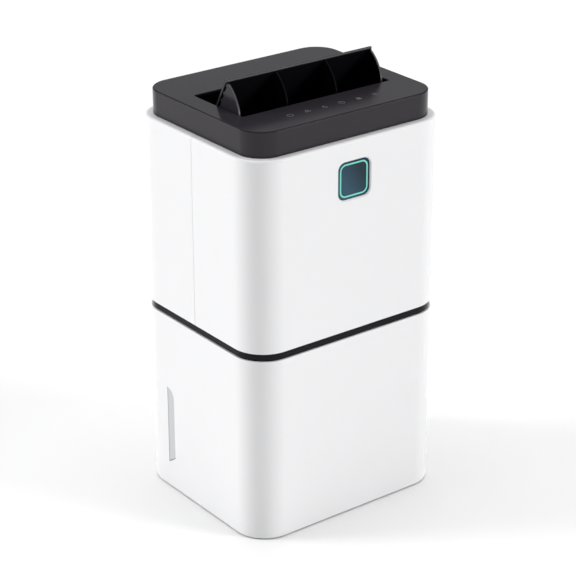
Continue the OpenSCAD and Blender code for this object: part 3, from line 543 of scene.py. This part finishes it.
def light_line():
    piece = prism("light_line", RING_OUTER, "y", LENS_Y + RING_SUNK, LENS_Y + RING_T)
    combine(piece, prism("middle", RING_INNER, "y", LENS_Y - PAST, LENS_Y + PAST))
    mount(piece, "root", "light_ring", "display_light_ring")


# ---- Air flap, drawn closed and then turned to its open rest pose ----

OPENED = (Matrix.Translation((0, PIVOT_Y * MM, PIVOT_Z * MM))
          @ Matrix.Rotation(math.radians(-FLAP_OPEN), 4, "X"))


def give_finishes(piece, *names):
    piece.data.materials.clear()
    for name in names:
        piece.data.materials.append(MATERIALS[name])


def flap_lid():
    under = LID_TOP - LID_T
    outline = arc(LID_FRONT + LID_BEAD, LID_TOP - LID_BEAD, LID_BEAD, 90, 270, 10)
    outline += [(BEAD_END, under), (LID_REAR - 1, under), (LID_REAR, under + 1), (LID_REAR, LID_TOP - 1),
                (LID_REAR - 1, LID_TOP)]
    piece = prism("lid", outline, "x", -LID_X, LID_X)
    soften(piece, 0.35)
    give_finishes(piece, "cap_grey", "duct_black", "painted_highlight_edge")
    for face in piece.data.polygons:
        # place of the face as seen from the bead's axis
        y, z = face.center.y / MM - LID_FRONT - LID_BEAD, face.center.z / MM - LID_TOP + LID_BEAD
        turn = math.degrees(math.atan2(z, y)) % 360
        # a stretch of the bead gets a painted highlight, and the lid's underside is painted black as shade
        highlighted = HIGHLIGHT_FROM < turn < HIGHLIGHT_TO and math.hypot(y, z) < LID_BEAD + 0.1
        underside = z < -0.9 and y > 0.1
        face.material_index = 2 if highlighted else int(underside)
    piece.data.transform(OPENED)
    mount(piece, "flap", "cap_grey", "flap_lid")


def vane(name, x0, x1):
    """A plate under the lid with one large arc for its edge, cut off at the front and rear."""
    end = math.degrees(math.asin((LID_TOP - LID_T - VANE_Z) / VANE_R))
    curve = arc(VANE_Y, VANE_Z, VANE_R, 180 - end, 360 + end, 48)
    return prism(name, [(min(max(y, VANE_FRONT), VANE_REAR), z) for y, z in curve], "x", x0, x1)


def flap_vanes():
    inner_x, outer_x = END_VANE
    piece = vane("vanes", -outer_x, -inner_x)
    for start in SLOT_STARTS:
        combine(piece, block("slot", (-outer_x - 1, start, SLOT_Z0),
                             (-outer_x + SLOT_DEEP, start + SLOT_LONG, SLOT_Z1)))
    for low, high in ((-RIB[1], -RIB[0]), RIB, END_VANE):
        add(piece, vane("vane", low, high))
    soften(piece, 0.4)
    give_finishes(piece, "duct_black", "cap_grey", "painted_highlight_edge")
    for face in piece.data.polygons:
        out, height = abs(face.center.x) / MM, face.center.z / MM
        # the end vanes' curved edge low down gets a painted highlight; their outer faces are cap_grey, and
        # the rest is painted shade in black
        rim = out > inner_x + 0.1 and abs(face.normal.x) < 0.8 and height < 3.0
        face.material_index = 2 if rim else int(out > outer_x - 0.4)
    piece.data.transform(OPENED)
    mount(piece, "flap", "duct_black", "flap_vanes")


# ---- Tank front and plug ----

def tank_front():
    low, high, side = BAY_Z0 + PANEL_GAP, BAY_Z1 - PANEL_GAP, BAY_X - PANEL_GAP
    piece = sweep("tank_front", [(0.0, low), (0.0, high), (WALL, high), (WALL, low)], PANEL_SPAN, False)
    combine(piece, block("span", (-side, INSIDE_Y, 0), (side, BEHIND_Y, BAY_Z1 + 10)), "INTERSECT")
    wide = GRIP_X + GRIP_WALL
    combine(piece, block("grip", (-wide, GRIP_Y - GRIP_WALL, GRIP_Z0 - GRIP_WALL),
                         (wide, HALF_D - GRIP_WALL, GRIP_Z1 + GRIP_WALL)), "UNION")
    combine(piece, block("hollow", (-GRIP_X, GRIP_Y, GRIP_Z0), (GRIP_X, HALF_D - WALL, GRIP_Z1)))
    slot = rounded(2 * GRIP_X, GRIP_SLOT_H, GRIP_SLOT_R, 0, GRIP_Z0 + GRIP_SLOT_H / 2)
    combine(piece, prism("slot", slot, "y", HALF_D - WALL - 1, HALF_D + PAST))
    soften(piece, 0.45)
    mount(piece, "tank", "shell_white", "tank_panel")


def drain_plug():
    """A turned plug along Y, with grip flutes on its head."""
    count, flutes, flute_deep = 72, 14, 0.5
    profile = [(3.3, 103.0), (3.95, 103.6), (3.95, 112.2), (5.4, 112.3), (5.8, 112.7), (5.8, 117.2),
               (5.3, 117.8), (4.4, 118.0)]
    head = 0.9 * max(r for r, _ in profile)
    turns = [2 * math.pi * i / count for i in range(count)]
    rings = []
    for r, y in profile:
        cuts = [flute_deep / 2 * (1 + math.cos(flutes * a)) if r > head else 0.0 for a in turns]
        rings.append([(PORT_X + (r - cut) * math.cos(a), y, PORT_Z + (r - cut) * math.sin(a))
                      for a, cut in zip(turns, cuts)])
    mount(loft("plug", rings), "plug", "handle_grey", "drain_plug")


for build in (front_shell, rear_shell, lower_shell, rear_surround, level_strip, belt, cap, display_rim,
              display_lens, light_line, flap_lid, flap_vanes, tank_front, drain_plug):
    build()

# ---- CAD nodes that keep their shape: material, and width of their softened edges ----

KEPT = {
    "base_pan": ("pan_grey", 0.5), "rubber_feet": ("rubber", 0.5), "bay_bulkhead": ("liner_white", 0.3),
    "mid_deck": ("liner_white", 0.3), "touch_marks": ("mark_grey", 0), "touch_board": ("board_green", 0),
    "display_board": ("board_green", 0), "control_board": ("board_green", 0),
    "outlet_duct": ("duct_black", 0.4), "outlet_guard": ("duct_black", 0.3),
    "flap_bushes": ("liner_white", 0.3), "flap_motor": ("motor_grey", 0.3),
    "scroll_front": ("duct_black", 0.4), "scroll_rear": ("duct_black", 0.4),
    "fan_motor": ("motor_grey", 0.5), "evaporator_fins": ("fin_aluminium", 0),
    "evaporator_tubes": ("copper", 0), "condenser_fins": ("fin_aluminium", 0),
    "condenser_tubes": ("copper", 0), "compressor_shell": ("compressor_black", 0.5),
    "compressor_grommets": ("rubber", 0.4), "terminal_cover": ("compressor_black", 0.8),
    "accumulator": ("compressor_black", 0), "suction_pipe": ("copper", 0),
    "discharge_pipe": ("copper", 0), "filter_drier": ("copper", 0), "capillary_tube": ("copper", 0),
    "drip_tray": ("pan_grey", 0.4), "drain_spigot": ("liner_white", 0.3), "cord_gland": ("rubber", 0.3),
    "run_capacitor": ("motor_grey", 0.4), "reed_switch": ("rubber", 0.3),
    "humidity_sensor": ("liner_white", 0.2), "casing_screws": ("steel", 0.2),
    "flap_shaft": ("steel", 0.3), "fan_impeller": ("duct_black", 0.2), "fan_shaft": ("steel", 0.3),
    "tank_bucket": ("tank_clear", 0.5), "tank_lid": ("liner_white", 0.4),
    "tank_handle": ("handle_grey", 0.6), "tank_float": ("float_orange", 0.6),
    "intake_grille": ("shell_white", 0.05), "filter_frame": ("filter_blue", 0.4),
    "filter_mesh": ("filter_mesh", 0),
}
for node_name, (slot_name, edge) in KEPT.items():
    dress(node_name, slot_name, edge)


# ---- Floor, light and camera ----

def lay_floor():
    corners = [(-REACH, -REACH, 0), (REACH, -REACH, 0), (REACH, REACH, 0), (-REACH, REACH, 0)]
    floor = mesh_piece("floor", corners, [[0, 1, 2, 3]])
    paper = material("floor", (0.95, 0.95, 0.95), 0.6, tint=0.004, rough_spread=0.0, grain=0.02)
    floor.data.materials.append(paper)


def light_world():
    """A little light from all round, dimmer overhead."""
    world = bpy.data.worlds.new("studio")
    bpy.context.scene.world = world
    world.use_nodes = True
    tree = world.node_tree
    background = tree.nodes["Background"]
    aim = tree.nodes.new("ShaderNodeTexCoord")
    split = tree.nodes.new("ShaderNodeSeparateXYZ")
    shade = tree.nodes.new("ShaderNodeMapRange")
    shade.interpolation_type = "SMOOTHSTEP"
    shade.inputs["From Min"].default_value = 0.06
    shade.inputs["From Max"].default_value = 0.55
    shade.inputs["To Min"].default_value = 0.12
    shade.inputs["To Max"].default_value = 0.05
    tree.links.new(aim.outputs["Generated"], split.inputs["Vector"])
    tree.links.new(split.outputs["Z"], shade.inputs["Value"])
    tree.links.new(shade.outputs["Result"], background.inputs["Strength"])
    background.inputs["Color"].default_value = (1, 1, 1, 1)


def soft_sun(name, source, spread, strength, mirrored=False):
    """Even light from far away, as from a large diffuser, out of the direction of source."""
    data = bpy.data.lights.new(name, "SUN")
    data.angle = math.radians(spread)
    data.energy = strength
    light = bpy.data.objects.new(name, data)
    bpy.context.scene.collection.objects.link(light)
    light.rotation_mode = "QUATERNION"
    light.rotation_quaternion = (-Vector(source)).to_track_quat("-Z", "Y")
    light.visible_glossy = mirrored


def set_camera(place, yaw, pitch, roll, lens):
    """A camera at a place in metres, turned right from +Y, down and sideways by angles in degrees."""
    data = bpy.data.cameras.new("camera")
    data.lens = lens
    data.sensor_width = 36.0
    camera = bpy.data.objects.new("camera", data)
    bpy.context.scene.collection.objects.link(camera)
    yaw, pitch, roll = (math.radians(angle) for angle in (yaw, pitch, roll))
    forward = Vector((math.sin(yaw) * math.cos(pitch), math.cos(yaw) * math.cos(pitch), -math.sin(pitch)))
    right = Vector((math.cos(yaw), -math.sin(yaw), 0))
    up = right.cross(forward)
    across = math.cos(roll) * right + math.sin(roll) * up
    upward = -math.sin(roll) * right + math.cos(roll) * up
    camera.matrix_world = Matrix((across, upward, -forward)).transposed().to_4x4()
    camera.location = place
    bpy.context.scene.camera = camera


lay_floor()
light_world()
soft_sun("left_light", (-1.0, 0.8, 0.42), 22, 2.2)
soft_sun("front_light", (0.75, -1.0, 0.42), 22, 1.66)
soft_sun("top_light", (0.05, 0.05, 1.0), 50, 2.18)
soft_sun("rim_light", (0.6, 0.8, 0.45), 44, 0.14, mirrored=True)
# weak low lights whose mirror images show on rounded edges
soft_sun("front_glint", (0.57, -0.82, 0.08), 9, 0.25, mirrored=True)
soft_sun("left_glint", (-0.68, 0.73, 0.08), 9, 0.2, mirrored=True)
set_camera(place=(-1.3466, -1.7760, 1.2448), yaw=37.09, pitch=24.05, roll=-0.165, lens=127.9)
bpy.context.scene.view_settings.view_transform = "Standard"
